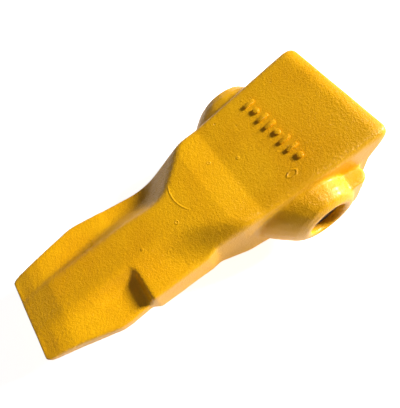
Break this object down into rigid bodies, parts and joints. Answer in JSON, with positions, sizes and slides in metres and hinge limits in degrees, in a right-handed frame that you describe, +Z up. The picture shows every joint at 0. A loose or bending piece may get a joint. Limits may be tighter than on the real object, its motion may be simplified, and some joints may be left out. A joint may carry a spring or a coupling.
{
  "type": "excavator bucket tooth",
  "caption": "Side-locked bucket tooth tip with a wedge blade, one wing, a tapered nose pocket and two turning locks in plastic bushings.",
  "frame": {"origin": "centre of the open rear end, where the adapter nose goes in", "axes": "+X forward to the digging edge, +Y to the winged side, +Z up through the face with the tally marks"},
  "size_m": [0.353, 0.1706, 0.1096],
  "materials": {
    "cast_paint": "glossy paint over sand-cast steel",
    "bushing_plastic": "moulded plastic",
    "lock_steel": "plain forged and machined steel"
  },
  "bodies": {
    "casting": {"tip_casting": "cast_paint", "bushing_left": "bushing_plastic", "bushing_right": "bushing_plastic"},
    "left_lock": {"lock_left": "lock_steel"},
    "right_lock": {"lock_right": "lock_steel"}
  },
  "joints": [
    {"name": "left_lock_turn", "type": "hinge", "parent": "casting", "child": "left_lock", "pos_m": [0.075, 0.06, 0], "axis": [0, 1, 0], "range_deg": [0, 180]},
    {"name": "right_lock_turn", "type": "hinge", "parent": "casting", "child": "right_lock", "pos_m": [0.075, -0.06, 0], "axis": [0, 1, 0], "range_deg": [0, 180]}
  ]
}
